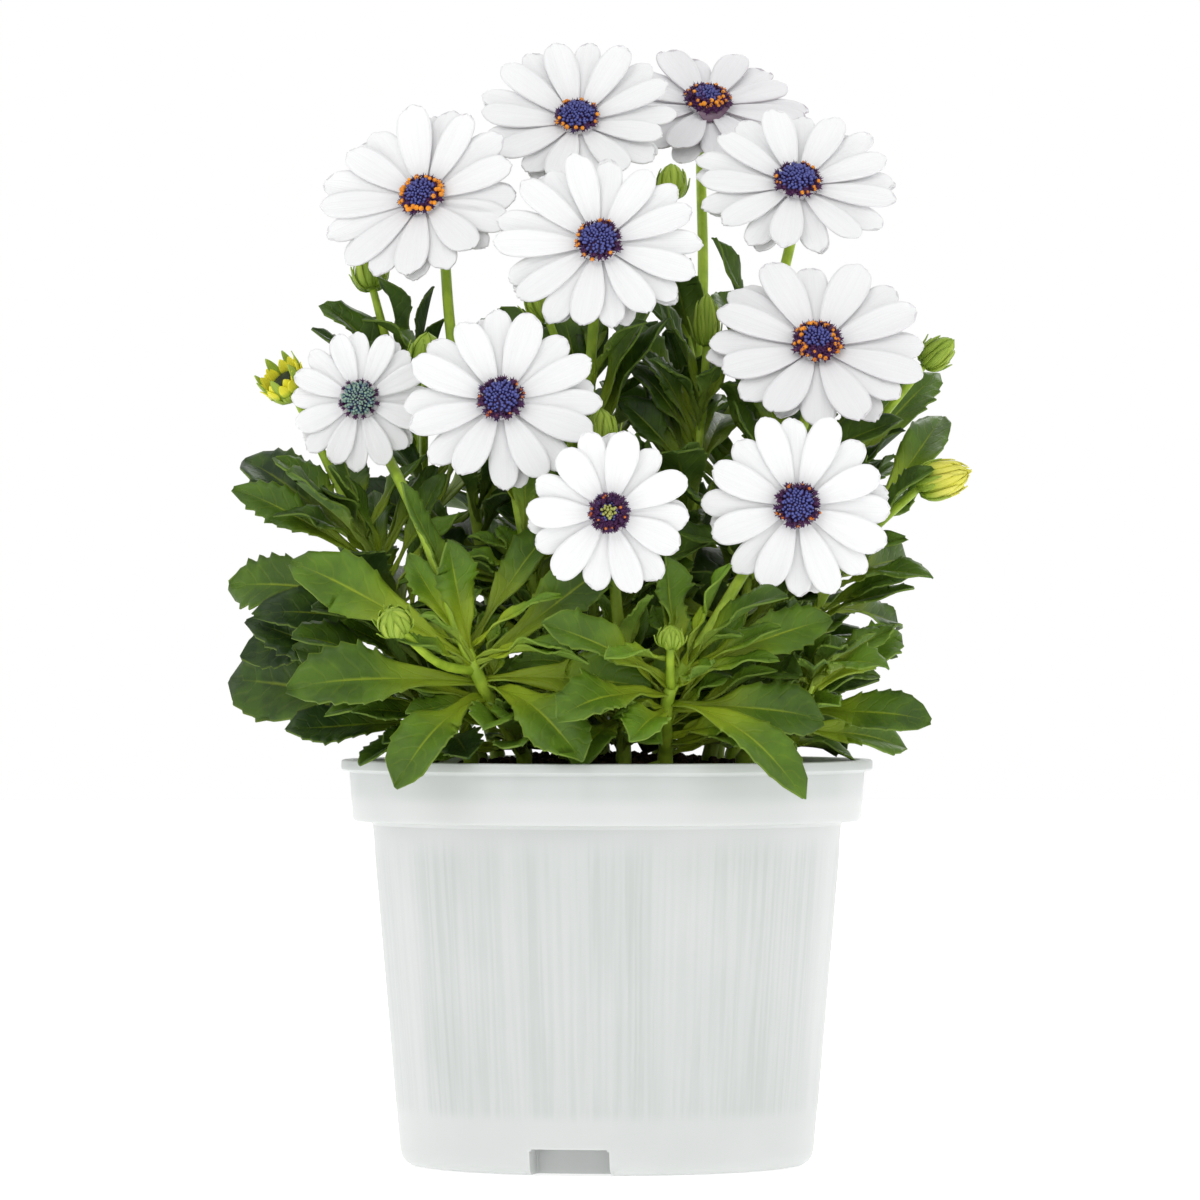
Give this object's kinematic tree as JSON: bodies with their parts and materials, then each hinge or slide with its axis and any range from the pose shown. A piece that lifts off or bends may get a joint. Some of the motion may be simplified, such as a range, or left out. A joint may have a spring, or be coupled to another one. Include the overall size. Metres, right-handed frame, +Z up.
{
  "type": "potted osteospermum",
  "caption": "White-petalled osteospermum with blue-violet eyes and toothed green leaves, planted in a pale round nursery pot",
  "frame": {"origin": "centre of the flat underside of the pot", "axes": "+Z up through the plant, -Y to the viewer of the picture, +X to the viewer's right"},
  "size_m": [0.1828, 0.1636, 0.2787],
  "materials": {
    "pot_plastic": "satin",
    "soil": "matte",
    "foliage": "satin",
    "petal": "matte",
    "disc": "matte",
    "bud_yellow": "matte",
    "bud_cream": "matte"
  },
  "bodies": {
    "root": {"pot": "pot_plastic", "soil": "soil", "yellow_bud": "bud_yellow", "cream_bud": "bud_cream", "rays_01": "petal", "rays_02": "petal", "rays_03": "petal", "rays_04": "petal", "rays_05": "petal", "rays_06": "petal", "rays_07": "petal", "rays_08": "petal", "rays_09": "petal", "rays_10": "petal", "disc_01": "disc", "disc_02": "disc", "disc_03": "disc", "disc_04": "disc", "disc_05": "disc", "disc_06": "disc", "disc_07": "disc", "disc_08": "disc", "disc_09": "disc", "disc_10": "disc", "shoot_01": "foliage", "shoot_02": "foliage", "shoot_03": "foliage", "shoot_04": "foliage", "shoot_05": "foliage", "shoot_06": "foliage", "shoot_07": "foliage", "shoot_08": "foliage", "shoot_09": "foliage", "shoot_10": "foliage", "shoot_11": "foliage", "shoot_12": "foliage", "shoot_13": "foliage", "shoot_14": "foliage", "shoot_15": "foliage", "shoot_16": "foliage", "shoot_17": "foliage", "shoot_18": "foliage", "shoot_19": "foliage"}
  },
  "joints": []
}
